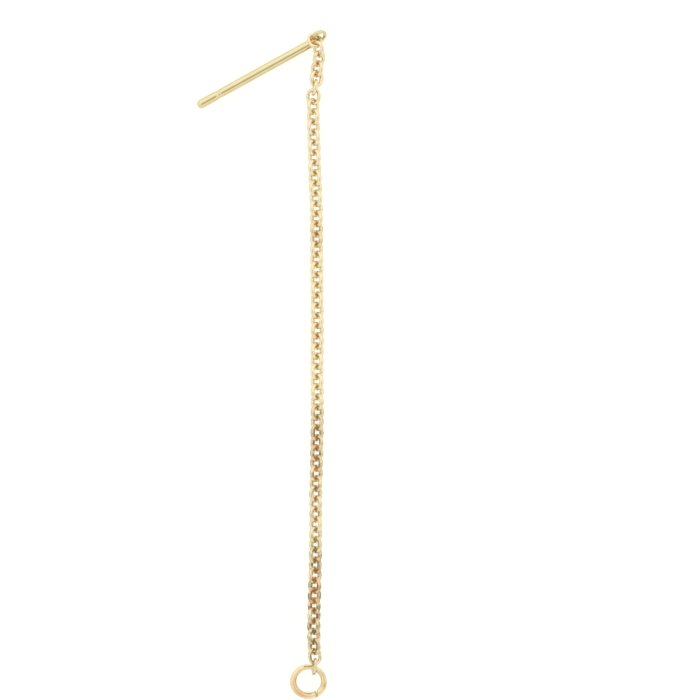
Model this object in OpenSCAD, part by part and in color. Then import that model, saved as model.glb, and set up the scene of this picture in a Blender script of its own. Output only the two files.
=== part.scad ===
// Chain earring of the ear thread kind, lying on a flat surface.
// A straight post with a small wire loop carries a fine cable chain, and an open ring ends the chain.
// X runs to the right, Y along the chain towards the post and Z up from the surface.
// The origin is on the surface, under the middle of the whole earring.

/* [Post] */
// Diameter of the post
post_d = 0.8; // [0.76:0.01:0.82]
// Length of the post from its tip to its shoulder
post_len = 13.65; // [13.5:0.01:13.7]
// Direction in which the post runs from its tip, turned from X
post_turn = 28.9; // [28.5:0.1:29.2]
// Distance from the tip to the middle of the groove
groove_at = 2.5; // [1.5:0.1:4]
// Width of the groove along the post
groove_w = 0.7; // [0.4:0.05:1]
// Depth of the groove
groove_depth = 0.06; // [0.02:0.01:0.12]

/* [Loop on the post] */
// Diameter of the loop's wire
loop_wire_d = 0.44; // [0.36:0.01:0.46]
// Radius of the loop, to the middle of its wire
loop_r = 0.58; // [0.56:0.01:0.6]
// Distance of the loop's middle past the shoulder, along the post
loop_ahead = 0.41; // [0.4:0.01:0.43]
// Distance of the loop's middle from the post's axis, in the loop's own plane
loop_aside = 0.31; // [0.29:0.01:0.32]
// Lean of the loop from the surface, turned about the post
loop_lean = 53; // [52:0.5:54]
// Angle round the loop at which its free end stops, close beside the post
loop_end = 135; // [120:1:138]

/* [Chain] */
// Diameter of the links' wire
link_wire_d = 0.3; // [0.24:0.01:0.3]
// Length of a link, to the middle of its wire
link_len = 1.44; // [1.43:0.01:1.45]
// Width of a link, to the middle of its wire
link_w = 1.12; // [1.11:0.01:1.13]
// Number of links in the long even run
run_links = 54; // [53:1:54]
// Lean of the links of the run from the surface, to one side and the other in turn
run_lean = 45; // [44:1:46]

/* [End ring] */
// Diameter of the ring's wire
ring_wire_d = 0.53; // [0.45:0.01:0.54]
// Radius of the ring, to the middle of its wire
ring_r = 1.49; // [1.48:0.01:1.5]
// Lean of the ring, which lies against the last link
ring_lean = 10; // [9.5:0.5:10.5]
// Direction of the split, turned from X
split_at = -57; // [-120:1:-30]
// Angle that the split takes out of the ring
split_angle = 3; // [2:0.5:6]

/* [Hidden] */
$fn = 64;
gold = [0.89, 0.78, 0.52];
loop_gold = [0.80, 0.76, 0.56];

// Where the tip touches down
post_tip = [-6.45, 25.85];
// The loop's wire starts inside the post's end
loop_start = -170;
// The loop stands on its lowest point, which sets the height of the shoulder
shoulder_z = (loop_r - loop_aside) * sin(loop_lean) + loop_wire_d / 2;
post_rise = asin((shoulder_z - post_d / 2) / post_len);
// The shoulder is turned down to a short cone before the loop
shoulder_len = 0.12;
shoulder_d = 0.62;
// A ring of this section cuts the groove as a shallow arc
groove_cut_r = (groove_w * groove_w / 4 + groove_depth * groove_depth) / (2 * groove_depth);

// Middle line of the chain's even run: place along Y, place along X
run_route = [
    [-29.0, 5.28],
    [-26.5, 5.23],
    [-23.5, 5.28],
    [-20.5, 5.37],
    [-16.5, 5.43],
    [-12.5, 5.43],
    [-8.5, 5.54],
    [-4.5, 5.59],
    [-0.5, 5.55],
    [3.5, 5.59],
    [11.5, 5.52],
    [15.5, 5.49],
    [19.5, 5.33],
    [21.5, 5.27],
    [23.5, 5.21],
    [27.0, 5.15],
];
run_top_y = 25.8;
run_bottom_y = -28.1;
run_z = link_w / 2 * sin(run_lean) + link_wire_d / 2;
run_pitch = (run_top_y - run_bottom_y) / (run_links - 1);
// Half the stretch over which the run's direction is taken
run_feel = 0.5;

// Links that hook on the post's loop and twist down to the run: x, y, z, lean, pitch, turn
first_links = [
    [5.35, 32.36, 0.95, -17, -30, 13],
    [5.71, 31.50, 1.27, 54, 14, 8],
    [5.75, 30.57, 0.87, -45, 23, 0],
    [5.56, 29.58, 0.70, 45, 7, -9],
    [5.51, 28.61, 0.64, -38, -4, -8],
    [5.33, 27.70, 0.71, 83, 0, -11],
    [5.20, 26.80, 0.58, 20, 5, -3],
];
// Links that turn up on edge to take the end ring: x, y, z, lean, pitch, turn
last_links = [
    [5.34, -29.08, 0.66, -32, -6, 3],
    [5.30, -30.08, 0.77, 83, 3, -6],
];

ring_middle = [4.69, -31.63];
ring_z = ring_wire_d / 2 + ring_r * sin(ring_lean);

function run_x(y) = lookup(y, run_route);
function run_turn(y) = atan((run_x(y - run_feel) - run_x(y + run_feel)) / (2 * run_feel));

// Round wire bent round part of a circle in the XY plane
module bent_wire(r, d, from, to) {
    rotate([0, 0, from])
        rotate_extrude(angle = to - from)
            translate([r, 0])
                circle(d = d);
}

// One closed oval link in the XY plane, long along Y
module link() {
    straight = link_len - link_w;
    for (side = [0, 180])
        rotate([0, 0, side]) {
            translate([0, straight / 2, 0])
                bent_wire(link_w / 2, link_wire_d, 0, 180);
            translate([link_w / 2, straight / 2, 0])
                rotate([90, 0, 0])
                    cylinder(d = link_wire_d, h = straight);
        }
}

// Lean lifts the link's right side, pitch its far end, and turn swings it on the surface
module placed_link(x, y, z, lean, pitch, turn) {
    translate([x, y, z])
        rotate([0, 0, turn])
            rotate([pitch, 0, 0])
                rotate([0, -lean, 0])
                    link();
}

// The post along X from its tip at the origin
module post_wire() {
    difference() {
        union() {
            translate([post_d / 2, 0, 0])
                sphere(d = post_d);
            translate([post_d / 2, 0, 0])
                rotate([0, 90, 0])
                    cylinder(d = post_d, h = post_len - post_d / 2 - shoulder_len);
            translate([post_len - shoulder_len, 0, 0])
                rotate([0, 90, 0])
                    cylinder(d1 = post_d, d2 = shoulder_d, h = shoulder_len);
        }
        translate([groove_at, 0, 0])
            rotate([0, 90, 0])
                bent_wire(post_d / 2 - groove_depth + groove_cut_r, 2 * groove_cut_r, 0, 360);
    }
}

// The open loop that the end of the post is bent into
module post_loop() {
    translate([post_len + loop_ahead, 0, 0])
        rotate([loop_lean, 0, 0])
            translate([0, loop_aside, 0])
                bent_wire(loop_r, loop_wire_d, loop_start, loop_end);
}

module ear_post() {
    color(gold)
        translate([post_tip[0], post_tip[1], post_d / 2])
            rotate([0, 0, post_turn])
                rotate([0, -post_rise, 0]) {
                    post_wire();
                    post_loop();
                }
}

module chain() {
    color(gold) {
        for (p = first_links)
            placed_link(p[0], p[1], p[2], p[3], p[4], p[5]);
        for (i = [0 : run_links - 1]) {
            y = run_top_y - i * run_pitch;
            lean = i % 2 == 0 ? -run_lean : run_lean;
            placed_link(run_x(y), y, run_z, lean, 0, run_turn(y));
        }
        for (p = last_links)
            placed_link(p[0], p[1], p[2], p[3], p[4], p[5]);
    }
}

module end_ring() {
    color(loop_gold)
        translate([ring_middle[0], ring_middle[1], ring_z])
            rotate([ring_lean, 0, 0])
                bent_wire(ring_r, ring_wire_d, split_at + split_angle / 2, split_at + 360 - split_angle / 2);
}

ear_post();
chain();
end_ring();
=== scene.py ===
import math
import random

import bpy
import numpy as np
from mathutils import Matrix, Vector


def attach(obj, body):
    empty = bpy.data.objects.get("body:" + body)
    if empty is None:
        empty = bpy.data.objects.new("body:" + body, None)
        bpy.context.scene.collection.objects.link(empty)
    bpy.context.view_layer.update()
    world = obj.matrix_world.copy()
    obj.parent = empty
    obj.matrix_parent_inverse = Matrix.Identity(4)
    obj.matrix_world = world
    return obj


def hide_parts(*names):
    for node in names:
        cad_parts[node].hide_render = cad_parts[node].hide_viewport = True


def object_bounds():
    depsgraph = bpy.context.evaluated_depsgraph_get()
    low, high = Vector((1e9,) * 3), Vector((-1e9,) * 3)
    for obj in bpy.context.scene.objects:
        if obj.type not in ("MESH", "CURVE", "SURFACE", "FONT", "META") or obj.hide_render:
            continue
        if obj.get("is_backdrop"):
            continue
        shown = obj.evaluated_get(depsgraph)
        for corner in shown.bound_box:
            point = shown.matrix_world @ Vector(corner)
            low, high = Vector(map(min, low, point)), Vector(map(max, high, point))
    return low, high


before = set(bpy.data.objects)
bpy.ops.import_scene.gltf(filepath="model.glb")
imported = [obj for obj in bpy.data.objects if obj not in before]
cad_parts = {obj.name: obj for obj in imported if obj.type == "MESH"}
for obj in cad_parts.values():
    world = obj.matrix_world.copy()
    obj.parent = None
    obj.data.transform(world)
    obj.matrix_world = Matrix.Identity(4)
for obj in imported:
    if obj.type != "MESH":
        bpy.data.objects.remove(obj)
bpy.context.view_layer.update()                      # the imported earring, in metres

mm = 0.001


# Colours, shader nodes and objects

def hexToLinear(hexColour):
    channels = [int(hexColour[i:i + 2], 16) / 255 for i in (1, 3, 5)]
    linear = [c / 12.92 if c <= 0.04045 else ((c + 0.055) / 1.055) ** 2.4 for c in channels]
    return linear + [1.0]


def addNode(tree, kind, inputs=None, stops=None, **settings):
    node = tree.nodes.new(kind)
    for name, value in settings.items():
        setattr(node, name, value)
    for socket, value in (inputs or {}).items():
        if isinstance(value, bpy.types.NodeSocket):
            tree.links.new(value, node.inputs[socket])
        else:
            node.inputs[socket].default_value = value
    if stops:                          # a colour ramp's stops: place and hex colour
        elements = node.color_ramp.elements
        while len(elements) < len(stops):
            elements.new(1.0)
        for element, (place, colour) in zip(elements, stops):
            element.position = place
            element.color = hexToLinear(colour)
    return node


def emptyTree(owner):                  # owner is a material or a world
    owner.use_nodes = True
    owner.node_tree.nodes.clear()
    return owner.node_tree


def addObject(name, data):
    added = bpy.data.objects.new(name, data)
    bpy.context.scene.collection.objects.link(added)
    return added


# Curves of strength, and turning points about an axis

def bump(x, middle, width):            # 1 at the middle, fading to both sides
    return np.exp(-((np.asarray(x) - middle) / width) ** 2)


def eased(t):                          # a smooth step from 0 to 1
    t = np.clip(t, 0, 1)
    return t * t * (3 - 2 * t)


def turned(points, axis, degrees):
    c, s = math.cos(math.radians(degrees)), math.sin(math.radians(degrees))
    matrix = {
        "x": [[1, 0, 0], [0, c, -s], [0, s, c]],
        "y": [[c, 0, s], [0, 1, 0], [-s, 0, c]],
        "z": [[c, -s, 0], [s, c, 0], [0, 0, 1]],
    }[axis]
    return points @ np.array(matrix).T


# Wires: every wire is a round section carried along a line that lies in one plane

def arcLine(radius, fromAngle, toAngle, steps, centre=(0.0, 0.0)):
    angles = np.radians(np.linspace(fromAngle, toAngle, steps))
    return np.stack([centre[0] + radius * np.cos(angles), centre[1] + radius * np.sin(angles)], axis=1)


def lineDirections(line, closed):
    if closed:
        along = np.roll(line, -1, axis=0) - np.roll(line, 1, axis=0)
    else:
        along = np.gradient(line, axis=0)
    return along / np.linalg.norm(along, axis=1, keepdims=True)


def distanceAlong(line):
    steps = np.linalg.norm(np.diff(line, axis=0), axis=1)
    return np.concatenate([[0.0], np.cumsum(steps)])


def wireRings(line, radii, sides, closed=False):
    direction = lineDirections(line, closed)
    sideways = np.stack([-direction[:, 1], direction[:, 0]], axis=1)
    turn = np.linspace(0, 2 * math.pi, sides, endpoint=False)
    out = np.cos(turn)[None, :, None] * sideways[:, None, :] * np.asarray(radii)[:, None, None]
    up = np.sin(turn)[None, :] * np.asarray(radii)[:, None]
    return np.concatenate([line[:, None, :] + out, up[:, :, None]], axis=2)


def wireFaces(rows, sides, closed, first=0):
    faces = []
    for i in range(rows if closed else rows - 1):
        a, b = first + i * sides, first + ((i + 1) % rows) * sides
        for k in range(sides):
            n = (k + 1) % sides
            faces.append((a + k, a + n, b + n, b + k))
    if not closed:
        last = first + (rows - 1) * sides
        faces.append(tuple(first + k for k in reversed(range(sides))))
        faces.append(tuple(last + k for k in range(sides)))
    return faces


def wireMarks(rows, sides):            # rows holds one value for each ring of points round the wire
    marks = {label: np.repeat(values, sides) for label, values in rows.items()}
    # the place round the wire falls and rises again, so that the draw lines have no seam
    marks["aroundWire"] = np.tile(np.abs(np.linspace(-1, 1, sides, endpoint=False)), len(rows["alongWire"]))
    return marks


def makePiece(name, points, faces, marks, material):
    mesh = bpy.data.meshes.new(name)
    mesh.from_pydata((np.asarray(points) * mm).tolist(), [], faces)
    mesh.update()
    mesh.polygons.foreach_set("use_smooth", [True] * len(mesh.polygons))
    for label, values in marks.items():
        attribute = mesh.attributes.new(label, "FLOAT", "POINT")
        attribute.data.foreach_set("value", np.asarray(values, np.float32).ravel())
    mesh.materials.append(material)
    return addObject(name, mesh)


# Gold-filled wire, drawn and polished: a bright mirror of pale gold, with faint lines along the draw

# the gold dulls in patches under a brown, olive or grey film, and dirt and painted shade in the corners hide
# it
finish = {
    # the gold's two shades, in clouds of this size, and the gold that has turned
    "gold": "#D7CCA4", "goldShade": "#D4C598", "rosyGold": "#D5B78D",
    "cloudMm": 1.4, "cloudEdges": (0.35, 0.7),
    # patches of film: their size, how sharply they end, how much film lies between them, how rough it is
    "patchMm": 0.5, "patchEdges": (0.4, 0.56), "leastFilm": 0.1, "filmRoughness": 0.3,
    # the film's colours, from the edge of a patch to its middle
    "films": [(0.3, "#8A6236"), (0.55, "#6C6242"), (0.75, "#86826C")],
    # dirt and painted shade on clean gold and on gold that has turned, and how much of the metal they hide
    "dirtAndShadeColour": "#B8984A", "rosyDirtAndShadeColour": "#B87844", "dirtAndShadeCover": 0.6,
    # draw lines: their length, how many lie round half the wire, and how rough and deep they are
    "lineMm": 1.6, "linesRound": 26.0, "lineEdges": (0.3, 0.7), "roughness": (0.08, 0.16),
    "reliefStrength": 0.25, "reliefMm": 0.006,
}


def goldFilledWire(name, s):
    material = bpy.data.materials.new(name)
    tree = emptyTree(material)
    place = addNode(tree, "ShaderNodeTexCoord").outputs["Object"]
    along, around, dull, rosy, dirtAndShade = [
        addNode(tree, "ShaderNodeAttribute", attribute_name=label).outputs["Fac"]
        for label in ("alongWire", "aroundWire", "tarnish", "rosy", "dirtAndShade")]

    cloud = addNode(tree, "ShaderNodeTexNoise", {
        "Vector": place, "Scale": 1 / (s["cloudMm"] * mm), "Detail": 3.0, "Roughness": 0.55})
    clouded = addNode(tree, "ShaderNodeMapRange", {
        "Value": cloud.outputs["Fac"], "From Min": s["cloudEdges"][0], "From Max": s["cloudEdges"][1]})
    gold = addNode(tree, "ShaderNodeMix", {
        0: clouded.outputs[0], 6: hexToLinear(s["gold"]), 7: hexToLinear(s["goldShade"])}, data_type="RGBA")
    gold = addNode(tree, "ShaderNodeMix", {
        0: rosy, 6: gold.outputs[2], 7: hexToLinear(s["rosyGold"])}, data_type="RGBA")

    # tarnish lies in patches, thickest where its mark says
    patch = addNode(tree, "ShaderNodeTexNoise", {
        "Vector": place, "Scale": 1 / (s["patchMm"] * mm), "Detail": 4.0, "Roughness": 0.6})
    spread = addNode(tree, "ShaderNodeMapRange", {
        "Value": patch.outputs["Fac"], "From Min": s["patchEdges"][0], "From Max": s["patchEdges"][1],
        "To Min": s["leastFilm"], "To Max": 1.0})
    dullHere = addNode(tree, "ShaderNodeMath", {
        0: dull, 1: spread.outputs[0]}, operation="MULTIPLY", use_clamp=True)
    film = addNode(tree, "ShaderNodeValToRGB", {"Fac": patch.outputs["Fac"]}, stops=s["films"])
    filmed = addNode(tree, "ShaderNodeMix", {
        0: dullHere.outputs[0], 6: gold.outputs[2], 7: film.outputs["Color"]}, data_type="RGBA")
    dirtAndShadeColour = addNode(tree, "ShaderNodeMix", {
        0: rosy, 6: hexToLinear(s["dirtAndShadeColour"]), 7: hexToLinear(s["rosyDirtAndShadeColour"])}, data_type="RGBA")
    # where the mark says, dirt and painted shade cover the gold
    colour = addNode(tree, "ShaderNodeMix", {
        0: dirtAndShade, 6: filmed.outputs[2], 7: dirtAndShadeColour.outputs[2]}, data_type="RGBA")

    # lines left by the drawing die run along the wire
    lineX = addNode(tree, "ShaderNodeMath", {0: along, 1: 1 / s["lineMm"]}, operation="MULTIPLY")
    lineY = addNode(tree, "ShaderNodeMath", {0: around, 1: s["linesRound"]}, operation="MULTIPLY")
    lineAt = addNode(tree, "ShaderNodeCombineXYZ", {"X": lineX.outputs[0], "Y": lineY.outputs[0]})
    lines = addNode(tree, "ShaderNodeTexNoise", {"Vector": lineAt.outputs[0], "Scale": 1.0, "Detail": 2.0})
    polish = addNode(tree, "ShaderNodeMapRange", {
        "Value": lines.outputs["Fac"], "From Min": s["lineEdges"][0], "From Max": s["lineEdges"][1],
        "To Min": s["roughness"][0], "To Max": s["roughness"][1]})
    filmRough = addNode(tree, "ShaderNodeMath", {
        0: dullHere.outputs[0], 1: s["filmRoughness"]}, operation="MULTIPLY")
    roughness = addNode(tree, "ShaderNodeMath", {
        0: polish.outputs[0], 1: filmRough.outputs[0]}, operation="ADD", use_clamp=True)
    relief = addNode(tree, "ShaderNodeBump", {
        "Height": lines.outputs["Fac"], "Strength": s["reliefStrength"], "Distance": s["reliefMm"] * mm})

    # dirt and painted shade cover the metal, so light scatters in them
    bare = addNode(tree, "ShaderNodeMath", {0: dirtAndShade, 1: -s["dirtAndShadeCover"], 2: 1.0}, operation="MULTIPLY_ADD")
    shader = addNode(tree, "ShaderNodeBsdfPrincipled", {
        "Base Color": colour.outputs[2], "Metallic": bare.outputs[0], "Roughness": roughness.outputs[0],
        "Normal": relief.outputs[0]})
    addNode(tree, "ShaderNodeOutputMaterial", {"Surface": shader.outputs[0]})
    return material


# Ear post: drawn wire with a round tip and a groove, its end thinned and bent into an open loop

postSettings = {
    # where the tip lies, and the straight part; lengths along the post start at the tip
    "tip": (-6.376, 25.874), "direction": 28.9, "length": 13.6, "radius": 0.44,
    "tipRound": 0.46, "tipBluntness": 2.2, "tipLeast": 0.004, "tipSwell": 0.012,
    "grooveAt": 2.4, "grooveWidth": 0.8, "grooveDepth": 0.06,
    # the neck, where the wire is drawn down a first time
    "shoulder": 0.3, "shoulderFade": 0.33, "neckRadius": 0.292,
    # the loop, round whose start it is drawn down again
    "neckPast": 0.35, "neckFade": 0.75, "loopWireRadius": 0.17,
    "loopRadius": 0.6, "loopCentre": (14.01, 0.31), "loopFrom": -112.0, "loopTo": 160.0, "loopLean": 53.0,
    # the loop's cut end is fuller, and its last part is thinned and rounded at the rim
    "endRadius": 0.25, "endFrom": 1.2, "endTaper": 0.4, "endThinning": 0.28,
    "endRound": 0.12, "endLeast": 0.72,
    # dirt and painted shade where the first link sits and at the cut end, and a faint film from the neck on
    "dirtAndShadeAt": 13.3, "dirtAndShadeReach": 0.4, "endReach": 0.5, "dirtAndShadeRosy": 0.25, "dirtAndShadeAmount": 0.6,
    "filmFrom": 13.5, "film": 0.08,
    "sides": 36, "step": 0.05, "tipSteps": 14, "neckSteps": 16, "loopSteps": 72,
}

# the post is the most polished piece, and its dirt and painted shade are a yellow brown
postFinish = finish | {"dirtAndShadeColour": "#D2AC5C", "rosyDirtAndShadeColour": "#C48A54", "dirtAndShadeCover": 0.8}


def postLine(s):
    tip = s["tipRound"] * (1 - np.cos(np.linspace(0, math.pi / 2, s["tipSteps"])))
    rest = np.arange(s["tipRound"] + s["step"], s["length"] - s["shoulder"], s["step"])
    straight = np.concatenate([tip, rest])
    straight = np.stack([straight, np.zeros_like(straight)], axis=1)
    loop = arcLine(s["loopRadius"], s["loopFrom"], s["loopTo"], s["loopSteps"], s["loopCentre"])
    # the neck swings from the post's axis down into the loop
    start, meet = straight[-1], loop[0]
    meetDirection = (loop[1] - loop[0]) / np.linalg.norm(loop[1] - loop[0])
    reach = np.linalg.norm(meet - start) / 3
    t = np.linspace(0, 1, s["neckSteps"])[1:-1, None]
    neck = ((1 - t) ** 3 * start + 3 * (1 - t) ** 2 * t * (start + [reach, 0])
            + 3 * (1 - t) * t ** 2 * (meet - meetDirection * reach) + t ** 3 * meet)
    return np.concatenate([straight, neck, loop])


def postRadii(s, along):
    radii = np.full(len(along), s["radius"])
    radii += s["tipSwell"] * (along < s["grooveAt"])
    inGroove = np.clip((along - s["grooveAt"]) / s["grooveWidth"], -0.5, 0.5)
    radii -= s["grooveDepth"] * np.cos(math.pi * inGroove) ** 2
    # the wire is drawn down in two steps, at the shoulder and round the start of the loop
    fromShoulder = along - (s["length"] - s["shoulder"])
    radii += (s["neckRadius"] - s["radius"]) * eased(fromShoulder / s["shoulderFade"])
    radii += (s["loopWireRadius"] - s["neckRadius"]) * eased((fromShoulder - s["neckPast"]) / s["neckFade"])
    # the loop is thinnest where it was bent hardest, and fuller again towards its cut end
    toEnd = along[-1] - along
    full = eased((s["endFrom"] - toEnd) / (s["endFrom"] - s["endTaper"]))
    radii += (s["endRadius"] - s["loopWireRadius"]) * full
    radii *= 1 - s["endThinning"] * np.clip(1 - toEnd / s["endTaper"], 0, 1)
    # the tip is rounded all over, the cut end only at its rim
    tipShape = np.clip(along / s["tipRound"], 0, 1)
    radii *= np.sqrt(np.clip(1 - (1 - tipShape) ** s["tipBluntness"], s["tipLeast"], 1))
    endShape = np.clip(toEnd / s["endRound"], 0, 1)
    return radii * (s["endLeast"] + (1 - s["endLeast"]) * np.sqrt(1 - (1 - endShape) ** 2))


def makeEarPost(s, material):
    line = postLine(s)
    along = distanceAlong(line)
    points = turned(wireRings(line, postRadii(s, along), s["sides"]).reshape(-1, 3), "x", s["loopLean"])
    # the post lies on its tip's swelling and on the lowest part of its loop
    tipHeight = s["radius"] + s["tipSwell"]
    rise = math.degrees(math.asin((-points[:, 2].min() - tipHeight) / s["loopCentre"][0]))
    points = turned(turned(points, "y", -rise), "z", s["direction"]) + [*s["tip"], tipHeight]
    # dirt and painted shade, with browner gold, where the first link sits on the neck and at the loop's cut
    # end
    dirtAndShadeHere = bump(along, s["dirtAndShadeAt"], s["dirtAndShadeReach"]) + bump(along, along[-1], s["endReach"])
    marks = wireMarks({
        "alongWire": along,
        "tarnish": s["film"] * (along > s["filmFrom"]),
        "rosy": s["dirtAndShadeRosy"] * dirtAndShadeHere,
        "dirtAndShade": s["dirtAndShadeAmount"] * dirtAndShadeHere,
    }, s["sides"])
    return makePiece("earPost", points, wireFaces(len(line), s["sides"], False), marks, material)


post = makeEarPost(postSettings, goldFilledWire("goldFilledDrawnWire", postFinish))
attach(post, "root")
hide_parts("ear_post")
print("ear post made")


# Chain: oval links of round wire, each closed and soldered, every one where the frame has its link

chainSettings = {
    # a link's length and width, measured to the middle of its wire
    "length": 1.41, "width": 1.17, "widthJitter": 0.008,
    # the wire is as thick as its neighbours leave room for, up to these radii: the run's, the first two
    # links' at the post and the last two's at the ring
    "wireRadius": 0.195, "topWireRadius": 0.178, "ringWireRadius": 0.168, "touchGap": 0.008,
    # it is fuller in the middle of the bars, save in the first three links and the last two
    "barSwell": 0.16, "barReach": 0.26, "swelledFrom": 3, "swelledTo": -2,
    # it is fuller at the solder too, which lies part way round the link on one side or the other
    "solderSwell": 0.04, "solderWidth": 0.09, "solderAt": (0.33, 0.83), "solderJitter": 0.12,
    # a link whose lean has a sine between these has settled some degrees flatter; each is turned a little
    "halfUpright": (0.57, 0.82), "settled": 3.0, "rollJitter": 1.4, "swingJitter": 0.8, "seed": 7,
    # a link's ends start this far from its middle, and are full ends this much further on
    "endFrom": 0.35, "endFade": 0.35,
    # tarnish down the chain: middle along Y, half length and amount
    "tarnish": [(13.0, 0.9, 0.75), (3.0, 0.8, 0.2), (-5.6, 1.2, 0.5), (-9.6, 3.6, 1.3), (-14.5, 1.2, 0.25),
                (-19.2, 1.8, 0.8), (-23.2, 4.0, 1.5), (-25.6, 1.2, 0.5), (-28.2, 2.4, 0.9)],
    # each link has a share of it in this range: some all over, less at its ends, more on its inner sides
    "tarnishRange": (0.65, 1.15), "overallTarnish": 0.36, "endsCleaner": 0.8,
    "insideFrom": 0.2, "insideFade": 0.4, "outsideFrom": 0.5, "outsideFade": 0.3, "outsideMost": 0.7,
    # the last link's lower end, in the ring, gets a painted brown shade
    "tipFrom": -30.68, "tipFade": 0.12, "tipShade": 0.5,
    # where the gold at the links' ends has turned orange, in the same three columns
    "orange": [(-23.0, 3.0, 1.0), (-9.6, 3.4, 0.8), (29.0, 2.5, 0.5), (13.0, 1.5, 0.6), (4.0, 4.0, 0.2)],
    "rosierBar": (0.2, 0.9), "rosyMost": 0.12,
    # painted shade on the flanks of the bars and ends, dirt at orange ends, painted shade inside the first
    # link, dirt and painted shade in the crevices
    "flankFrom": 0.8, "barFlankShade": 0.02, "endFlankShade": 0.3, "orangeFrom": 0.3, "orangeGrime": 0.7,
    "firstInsideShade": 0.7, "creviceReach": 0.16, "creviceDirtAndShade": 0.6,
    "sides": 18, "arcSteps": 22, "barSteps": 4, "lineShift": 7.3,
}

# the chain's gold is paler and less polished than the post's, its dirt and painted shade yellow, or orange
# on turned gold
chainFinish = finish | {
    "gold": "#E1D6B7", "goldShade": "#E0D0A6", "rosyGold": "#E2C7A2", "roughness": (0.15, 0.24),
    "dirtAndShadeColour": "#ECD274", "rosyDirtAndShadeColour": "#E2A86A", "dirtAndShadeCover": 0.9,
}


def looseParts(triangles, count):      # the number of the loose part that each triangle belongs to
    group = np.arange(count)
    while True:                        # the corners of a triangle take the lowest number among them
        before = group.copy()
        lowest = group[triangles].min(axis=1)
        for corner in range(3):
            np.minimum.at(group, triangles[:, corner], lowest)
        group = group[group]
        if np.array_equal(before, group):
            return group[triangles[:, 0]]


def linkPlace(corners):                # a link's middle and axes, its triangles weighed by their area
    areas = np.linalg.norm(np.cross(corners[:, 1] - corners[:, 0], corners[:, 2] - corners[:, 0]), axis=1)
    weight = (areas / areas.sum())[:, None]
    middles = corners.mean(axis=1)
    centre = (middles * weight).sum(axis=0)
    apart = middles - centre
    # it is thinnest along its normal and reaches furthest lengthways
    _, axes = np.linalg.eigh((apart * weight).T @ apart)
    normal, lengthways = axes[:, 0], axes[:, 2]
    normal = normal * (1 if normal[2] > 0 else -1)
    lengthways = lengthways * (1 if lengthways[1] > 0 else -1)
    return centre, np.stack([np.cross(lengthways, normal), lengthways, normal], axis=1)


def readLinks(node):                   # the links' places, from the top of the chain down
    mesh = node.data
    spots = np.empty(len(mesh.vertices) * 3)
    mesh.vertices.foreach_get("co", spots)
    spots = spots.reshape(-1, 3) / mm
    # vertices that lie at one spot count as the same one
    _, same = np.unique(np.round(spots, 4), axis=0, return_inverse=True)
    same = same.ravel()
    mesh.calc_loop_triangles()
    triangles = np.empty(len(mesh.loop_triangles) * 3, np.int64)
    mesh.loop_triangles.foreach_get("vertices", triangles)
    triangles = triangles.reshape(-1, 3)
    owner = looseParts(same[triangles], same.max() + 1)
    links = [linkPlace(spots[triangles[owner == number]]) for number in np.unique(owner)]
    return sorted(links, key=lambda link: -link[0][1])


def linkLine(s, width):
    half, straight = width / 2, s["length"] - s["width"]
    top = arcLine(half, 0, 180, s["arcSteps"] + 1, (0, straight / 2))
    bottom = arcLine(half, 180, 360, s["arcSteps"] + 1, (0, -straight / 2))
    barY = np.linspace(straight / 2, -straight / 2, s["barSteps"] + 2)[1:-1]
    left = np.stack([np.full_like(barY, -half), barY], axis=1)
    right = np.stack([np.full_like(barY, half), barY[::-1]], axis=1)
    return np.concatenate([top, left, bottom, right])


def layLink(s, centre, axes, dice):    # flat is the link's line in its own plane, line the same one in place
    flat = linkLine(s, s["width"] * (1 + dice.uniform(-s["widthJitter"], s["widthJitter"])))
    lean = axes[2, 0]
    settled = s["settled"] * np.sign(lean) * (s["halfUpright"][0] < abs(lean) < s["halfUpright"][1])
    roll = dice.uniform(-1, 1) * s["rollJitter"] + settled
    swing = dice.uniform(-1, 1) * s["swingJitter"]
    axes = turned(turned(np.eye(3), "y", roll), "z", swing) @ axes.T
    line = np.column_stack([flat, np.zeros(len(flat))]) @ axes + centre
    return {"flat": flat, "line": line, "centre": centre, "axes": axes}


def leastDistance(points, line):       # from each point to the nearest point of the line
    return np.linalg.norm(points[:, None, :] - line[None, :, :], axis=2).min(axis=1)


def fitWires(s, links):
    wires = np.full(len(links), s["wireRadius"])
    wires[:2], wires[-2:] = s["topWireRadius"], s["ringWireRadius"]
    for link, wire in zip(links, wires):  # each link rests on the table or above it
        lift = max(0.0, wire * (1 + s["barSwell"]) - link["line"][:, 2].min())
        link["centre"][2] += lift
        link["line"][:, 2] += lift
    for number in range(len(links) - 1):
        apart = leastDistance(links[number]["line"], links[number + 1]["line"]).min()
        wires[number:number + 2] = np.minimum(wires[number:number + 2], (apart - s["touchGap"]) / 2)
    return wires


def linkSurface(s, link, along, wire, barSwell, dice):
    solderAt = dice.choice(s["solderAt"]) * along[-1] + dice.uniform(-s["solderJitter"], s["solderJitter"])
    radii = wire * (1 + s["solderSwell"] * bump(along, solderAt, s["solderWidth"])
                    + barSwell * bump(link["flat"][:, 1], 0, s["barReach"]))
    rings = wireRings(link["flat"], radii, s["sides"], closed=True)
    return rings.reshape(-1, 3) @ link["axes"] + link["centre"]


def amountAt(rows, y):                 # rows of middle, half length and amount
    return sum(amount * float(bump(y, middle, reach)) for middle, reach, amount in rows)


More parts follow.
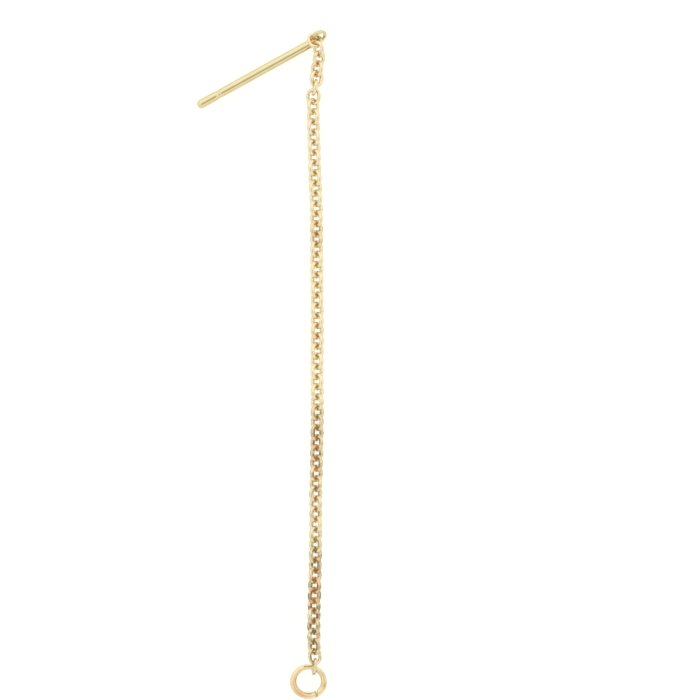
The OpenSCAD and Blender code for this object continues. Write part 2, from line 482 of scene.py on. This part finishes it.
def linkMarks(s, link, surface, nearest, first, dice):
    away = surface - np.repeat(link["line"], s["sides"], axis=0)
    away = away / np.linalg.norm(away, axis=1, keepdims=True)
    fromMiddle = surface[:, 0] - link["centre"][0]
    ends = np.clip((np.abs(link["flat"][:, 1]) - s["endFrom"]) / s["endFade"], 0, 1)
    ends = np.repeat(ends, s["sides"])
    crevice = np.clip(1 - nearest / s["creviceReach"], 0, 1)

    # tarnish stays on the sides that face into the link, and on some of the outer sides
    dullness = amountAt(s["tarnish"], link["centre"][1]) * dice.uniform(*s["tarnishRange"])
    inwards = -away[:, 0] * np.sign(fromMiddle)
    inside = np.clip((inwards - s["insideFrom"]) / s["insideFade"], 0, 1)
    outside = np.clip((-inwards - s["outsideFrom"]) / s["outsideFade"], 0, 1)
    outside = outside * dice.uniform(0, s["outsideMost"])
    tarnish = dullness * (s["overallTarnish"] + inside + outside)
    tarnish = tarnish * (1 - s["endsCleaner"] * ends) * (1 - crevice)
    # the last link's lower end, in the ring, gets a painted brown shade, carried in the tarnish mark
    tarnish = tarnish + s["tipShade"] * np.clip((s["tipFrom"] - surface[:, 1]) / s["tipFade"], 0, 1)

    # one bar of a tarnished link is often rosier than the other
    orange = amountAt(s["orange"], link["centre"][1])
    rosierBar = dullness * dice.uniform(*s["rosierBar"]) * (dice.choice((-1, 1)) * fromMiddle > 0)
    rosy = orange * ends + rosierBar * (1 - ends) + dice.uniform(0, s["rosyMost"])

    # the wire's flanks get a painted shade, most of all at a link's ends, so its top stays brighter
    flanks = np.clip(1 - away[:, 2] / s["flankFrom"], 0, 1)
    dirtAndShade = (s["barFlankShade"] + (s["endFlankShade"] - s["barFlankShade"]) * ends) * flanks
    dirtAndShade = dirtAndShade + s["orangeGrime"] * np.clip(orange - s["orangeFrom"], 0, 1) * ends
    if first:                          # painted shade inside the first link, round the post's loop
        dirtAndShade = dirtAndShade + s["firstInsideShade"] * inside
    # dirt and painted shade in the crevices where links touch
    dirtAndShade = np.maximum(dirtAndShade, s["creviceDirtAndShade"] * crevice)
    return {"tarnish": np.clip(tarnish, 0, 1), "rosy": np.clip(rosy, 0, 1), "dirtAndShade": dirtAndShade}


def makeChain(s, material):
    dice = random.Random(s["seed"])
    links = [layLink(s, centre, axes, dice) for centre, axes in readLinks(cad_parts["chain"])]
    print("chain links in the frame:", len(links))
    wires = fitWires(s, links)
    print("link wire radii, mm:", np.round([wires.min(), np.median(wires), wires.max()], 3))
    swelled = range(len(links))[s["swelledFrom"]:s["swelledTo"]]
    points, faces, marks = [], [], {}
    for number, link in enumerate(links):
        along = distanceAlong(link["flat"])
        barSwell = s["barSwell"] if number in swelled else 0.0
        surface = linkSurface(s, link, along, wires[number], barSwell, dice)
        faces += wireFaces(len(along), s["sides"], True, first=number * len(surface))
        points.append(surface)
        neighbours = [other for other in (number - 1, number + 1) if 0 <= other < len(links)]
        nearest = np.min([
            leastDistance(surface, links[other]["line"]) - wires[other] for other in neighbours], axis=0)
        # each link was cut from another stretch of wire, so its draw lines start elsewhere
        made = wireMarks({"alongWire": along + s["lineShift"] * number}, s["sides"])
        made |= linkMarks(s, link, surface, nearest, number == 0, dice)
        for label, values in made.items():
            marks.setdefault(label, []).append(values)
    marks = {label: np.concatenate(values) for label, values in marks.items()}
    return makePiece("chainLinks", np.concatenate(points), faces, marks, material)


chain = makeChain(chainSettings, goldFilledWire("goldFilledCableChain", chainFinish))
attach(chain, "root")
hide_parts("chain")
print("chain made")


# End ring: an open jump ring, a little oval, its cut ends parted inwards in a V, a plier mark beside them

ringSettings = {
    "centre": (4.72, -31.62), "radius": 1.55, "squash": 0.96, "wireRadius": 0.262, "lean": 10.6,
    # the ring is heavier and flatter at its lowest part, and fuller across from there; angles in degrees
    "lowestAt": 258.0, "heavierBy": 0.07, "flatterBy": 0.035,
    "fullestAt": 112.0, "fullerReach": 40.0, "fullerBy": 0.045,
    # the cut: its angle and its gap at the inside and the outside of the wire, and how far its slant is felt
    "splitInside": -51.0, "splitOutside": -64.5, "gapInside": 0.23, "gapOutside": -0.04, "leastGap": 0.012,
    "slantReach": 16.0,
    "plierAt": -10.0, "plierReach": 7.0, "plierDepth": 0.03,
    # marks in bands, with their middle and reach round the ring, and how far dirt and painted shade reach
    # from the cut
    "bands": [("tarnish", 0.2, 350, 12), ("rosy", 0.8, 228, 30), ("rosy", 0.25, 180, 40)],
    "cutReach": 2.8,
    # marks in spots, such as the painted shade along the inside, where the last link's shadow falls too, and
    # the dirt in the
    # plier mark: middle and reach round the ring, then middle and reach round the wire, from its outer side
    # over the top
    "spots": [("dirtAndShade", 0.85, 160, 42, 138, 20), ("dirtAndShade", 1.0, 275, 15, 158, 28),
              ("dirtAndShade", 0.6, 35, 28, 140, 20), ("dirtAndShade", 0.8, 349, 8, 66, 20),
              ("dirtAndShade", 0.5, 238, 20, 98, 13), ("rosy", 0.5, 258, 30, 100, 90),
              ("tarnish", 0.25, 20, 40, 60, 30)],
    # a straight scratch on top
    "scratchX": (4.24, 5.06), "scratchY": -30.06, "scratchWidth": 0.036, "scratchFade": 0.05,
    "scratchGrime": 0.6, "scratchTarnish": 1.6,
    "sides": 60, "steps": 260,
}

# the ring is the least polished piece, with a soft sheen
ringFinish = finish | {
    "gold": "#E6D8B2", "goldShade": "#E2CDA3", "rosyGold": "#DDC09B", "roughness": (0.36, 0.46),
}


def ringPoints(s, fromSplit, turn):    # fromSplit goes once round the ring, turn once round its wire
    splitMiddle = (s["splitInside"] + s["splitOutside"]) / 2
    low = 0.5 + 0.5 * np.cos(np.radians(splitMiddle + fromSplit - s["lowestAt"]))
    full = bump((splitMiddle + fromSplit) % 360, s["fullestAt"], s["fullerReach"])
    wire = (s["wireRadius"] + s["heavierBy"] * (2 - low) * low)[:, None]
    middle = (s["radius"] - s["flatterBy"] * low ** 2 + s["fullerBy"] * full)[:, None]
    reach = middle + wire * np.cos(turn)[None, :]
    up = wire * np.sin(turn)[None, :]
    # each end is cut on a slant, so the gap grows from the outside of the wire to the inside
    inwards = (middle + wire - reach) / (2 * wire)
    gap = np.maximum(s["leastGap"], s["gapOutside"] + (s["gapInside"] - s["gapOutside"]) * inwards)
    halfGap = np.degrees(gap / 2 / reach)
    slant = s["splitOutside"] + (s["splitInside"] - s["splitOutside"]) * inwards - splitMiddle
    fade = np.exp(-np.minimum(fromSplit, 360 - fromSplit) / s["slantReach"])[:, None]
    angle = splitMiddle + slant * fade + halfGap + (fromSplit[:, None] / 360) * (360 - 2 * halfGap)
    # the pliers dented the outer half of the wire
    fromPliers = (angle - s["plierAt"] + 180) % 360 - 180
    reach = reach - s["plierDepth"] * bump(fromPliers, 0, s["plierReach"]) * np.clip(1 - 2 * inwards, 0, 1)
    points = np.stack([reach * np.cos(np.radians(angle)), reach * np.sin(np.radians(angle)), up], axis=2)
    points[:, :, 1] *= s["squash"]
    points = turned(points.reshape(-1, 3), "x", s["lean"])
    return points + [*s["centre"], -points[:, 2].min()]


def ringMarks(s, fromSplit, turn, points):
    at = ((s["splitInside"] + s["splitOutside"]) / 2 + fromSplit) % 360
    rows = {
        "alongWire": s["radius"] * np.radians(fromSplit),
        "tarnish": np.zeros(len(at)),
        "rosy": np.zeros(len(at)),
        # dirt and painted shade at the cut ends
        "dirtAndShade": bump(np.minimum(fromSplit, 360 - fromSplit), 0, s["cutReach"]),
    }
    for label, amount, middle, reach in s["bands"]:
        rows[label] += amount * bump(at, middle, reach)
    marks = wireMarks(rows, s["sides"])
    # the spots along the inside are painted shade, one of them where the last link's shadow falls; the plier
    # mark's is dirt
    for label, amount, middle, reach, middleTurn, reachTurn in s["spots"]:
        apart = (at - middle + 180) % 360 - 180
        spot = amount * np.outer(bump(apart, 0, reach), bump(np.degrees(turn), middleTurn, reachTurn))
        marks[label] = np.clip(marks[label] + spot.ravel(), 0, 1)
    # the scratch is on the upper side of the wire alone
    fromEnds = np.minimum(points[:, 0] - s["scratchX"][0], s["scratchX"][1] - points[:, 0])
    scratch = np.clip(fromEnds / s["scratchFade"], 0, 1)
    scratch *= bump(points[:, 1], s["scratchY"], s["scratchWidth"])
    scratch *= points[:, 2] > points[:, 2].max() - s["wireRadius"]
    marks["dirtAndShade"] = np.clip(marks["dirtAndShade"] + s["scratchGrime"] * scratch, 0, 1)
    marks["tarnish"] += s["scratchTarnish"] * scratch
    return marks


def makeEndRing(s, material):
    fromSplit = np.linspace(0, 360, s["steps"] + 1)
    turn = np.linspace(0, 2 * math.pi, s["sides"], endpoint=False)
    points = ringPoints(s, fromSplit, turn)
    marks = ringMarks(s, fromSplit, turn, points)
    return makePiece("endRing", points, wireFaces(len(fromSplit), s["sides"], False), marks, material)


ring = makeEndRing(ringSettings, goldFilledWire("goldFilledJumpRing", ringFinish))
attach(ring, "root")
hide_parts("end_ring")
print("end ring made")


# White table, at the height of the earring's lowest point

tableSettings = {
    "size": 4000.0, "colour": "#6A6A69", "grainMm": 0.6, "roughness": (0.75, 0.9), "specular": 0.2,
    "glow": 0.94, "glowColour": "#FFFCF3",
}


def makeTable(s, height):
    half = s["size"] / 2 * mm
    mesh = bpy.data.meshes.new("table")
    corners = [(x * half, y * half, height) for x, y in ((-1, -1), (1, -1), (1, 1), (-1, 1))]
    mesh.from_pydata(corners, [], [(0, 1, 2, 3)])
    table = addObject("table", mesh)
    # opal acrylic, cast with a matt face and lit softly from beneath: shadows on it stay faint
    material = bpy.data.materials.new("opalAcrylicSheet")
    tree = emptyTree(material)
    place = addNode(tree, "ShaderNodeTexCoord").outputs["Object"]
    grain = addNode(tree, "ShaderNodeTexNoise", {
        "Vector": place, "Scale": 1 / (s["grainMm"] * mm), "Detail": 2.0})
    matt = addNode(tree, "ShaderNodeMapRange", {
        "Value": grain.outputs["Fac"], "To Min": s["roughness"][0], "To Max": s["roughness"][1]})
    shader = addNode(tree, "ShaderNodeBsdfPrincipled", {
        "Base Color": hexToLinear(s["colour"]), "Roughness": matt.outputs[0],
        "Specular IOR Level": s["specular"],
        "Emission Color": hexToLinear(s["glowColour"]), "Emission Strength": s["glow"]})
    addNode(tree, "ShaderNodeOutputMaterial", {"Surface": shader.outputs[0]})
    mesh.materials.append(material)
    table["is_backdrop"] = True


makeTable(tableSettings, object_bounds()[0][2])


# Studio: a white tent all round, open at its top, where the opening shows as a dark line in round wire

tentSettings = {
    "cloth": "#FFFFFF", "openingColour": "#C8C0AA",
    # the opening: which way it lies, and the angles from there between which the cloth begins
    "openingTowards": (0.13, -0.28, 1.0), "openingInner": 14.5, "openingOuter": 25.0,
    # brightness behind and in front of the table, and of the hem, which is darker up to this height
    "back": 1.36, "front": 1.18, "hemShade": 0.86, "hemHeight": 0.35,
}


def makeTent(s):
    world = bpy.data.worlds.new("whiteTent")
    bpy.context.scene.world = world
    tree = emptyTree(world)
    way = addNode(tree, "ShaderNodeTexCoord").outputs["Generated"]
    parts = addNode(tree, "ShaderNodeSeparateXYZ", {"Vector": way})
    middle = np.array(s["openingTowards"]) / np.linalg.norm(s["openingTowards"])
    fromMiddle = addNode(tree, "ShaderNodeVectorMath", {0: way, 1: middle.tolist()}, operation="DOT_PRODUCT")
    opening = addNode(tree, "ShaderNodeMapRange", {
        "Value": fromMiddle.outputs["Value"],
        "From Min": math.cos(math.radians(s["openingOuter"])),
        "From Max": math.cos(math.radians(s["openingInner"]))}, interpolation_type="SMOOTHSTEP")
    colour = addNode(tree, "ShaderNodeMix", {
        0: opening.outputs[0], 6: hexToLinear(s["cloth"]), 7: hexToLinear(s["openingColour"])},
        data_type="RGBA")
    sides = addNode(tree, "ShaderNodeMapRange", {
        "Value": parts.outputs["Y"], "From Min": -1.0, "From Max": 1.0,
        "To Min": s["front"], "To Max": s["back"]})
    hem = addNode(tree, "ShaderNodeMapRange", {
        "Value": parts.outputs["Z"], "From Min": 0.0, "From Max": s["hemHeight"],
        "To Min": s["hemShade"], "To Max": 1.0}, interpolation_type="SMOOTHSTEP")
    walls = addNode(tree, "ShaderNodeMath", {0: hem.outputs[0], 1: sides.outputs[0]}, operation="MULTIPLY")
    background = addNode(tree, "ShaderNodeBackground", {
        "Color": colour.outputs[2], "Strength": walls.outputs[0]})
    addNode(tree, "ShaderNodeOutputWorld", {"Surface": background.outputs[0]})


makeTent(tentSettings)


# Soft box: a faint lamp behind and to the left, which lights one side of the wires a little more

lampSettings = {"place": (-220.0, 420.0, 420.0), "size": 520.0, "watts": 0.06}


def makeLamp(s):
    lamp = bpy.data.lights.new("softBox", "AREA")
    lamp.size = s["size"] * mm
    lamp.energy = s["watts"]
    holder = addObject("softBox", lamp)
    holder.location = [c * mm for c in s["place"]]
    holder.rotation_euler = (-holder.location).to_track_quat("-Z", "Y").to_euler()


makeLamp(lampSettings)


# Camera: straight above the table, 70 mm across the picture

cameraSettings = {"above": (8.85, 1.5, 400.0), "fieldMm": 70.0, "sensorMm": 36.0, "clipMm": 10.0}


def makeCamera(s):
    camera = bpy.data.cameras.new("copyStandCamera")
    camera.sensor_width = s["sensorMm"]
    camera.lens = s["sensorMm"] * s["above"][2] / s["fieldMm"]
    camera.clip_start = s["clipMm"] * mm
    camera.dof.use_dof = False
    holder = addObject("copyStandCamera", camera)
    holder.location = [c * mm for c in s["above"]]
    bpy.context.scene.camera = holder


makeCamera(cameraSettings)
bpy.context.scene.view_settings.view_transform = "Standard"
print("table, tent, lamp and camera made")
